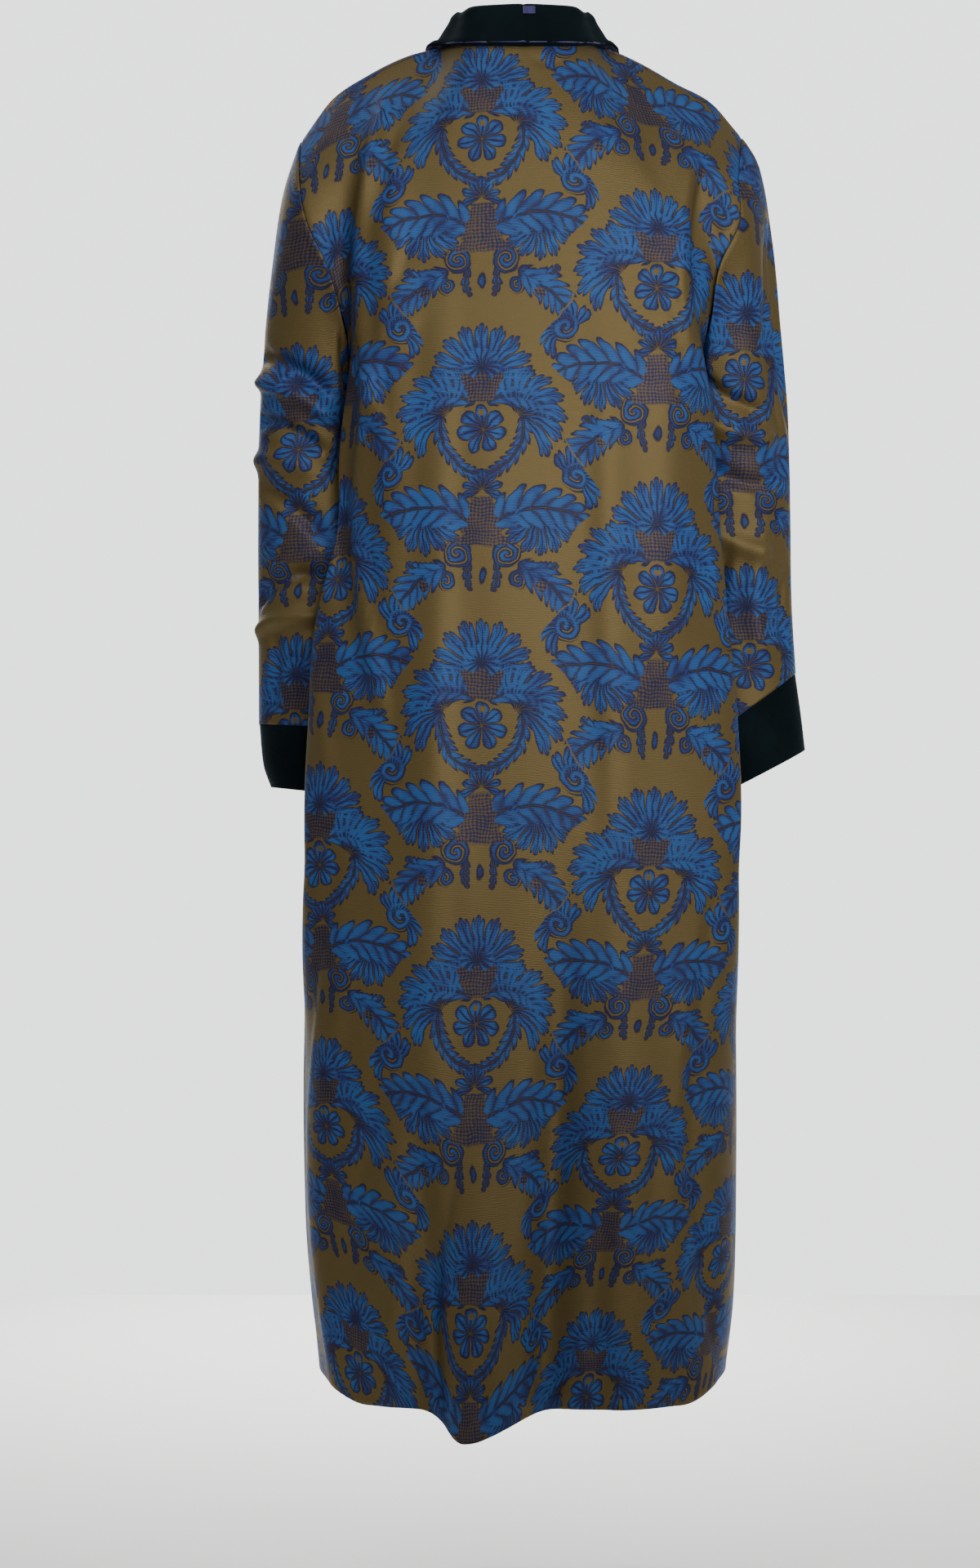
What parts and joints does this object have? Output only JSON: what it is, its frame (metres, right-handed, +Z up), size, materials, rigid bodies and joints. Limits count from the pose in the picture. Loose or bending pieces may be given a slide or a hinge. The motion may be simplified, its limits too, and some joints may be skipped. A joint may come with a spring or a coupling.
{
  "type": "long damask robe with velvet shawl collar and cuffs",
  "caption": "Long open robe of damask, worn and hollow, with a velvet shawl collar, long set-in sleeves and velvet cuffs.",
  "frame": {"origin": "middle of the neck's base, where the wearer's neck and shoulders carry the robe", "axes": "+Z up along the wearer, -Y the way the robe's front faces, +X the wearer's left"},
  "size_m": [0.5842, 0.3119, 1.4738],
  "materials": {
    "damask": "bronze satin ground with a woven blue pattern",
    "velvet": "near-black navy velvet",
    "lining": "violet-blue satin"
  },
  "bodies": {
    "root": {"back": "damask", "front_left": "damask", "front_right": "damask", "sleeve_left": "damask", "sleeve_right": "damask", "cuff_left": "velvet", "cuff_right": "velvet", "collar": "velvet", "neck_tab": "lining"}
  },
  "joints": []
}
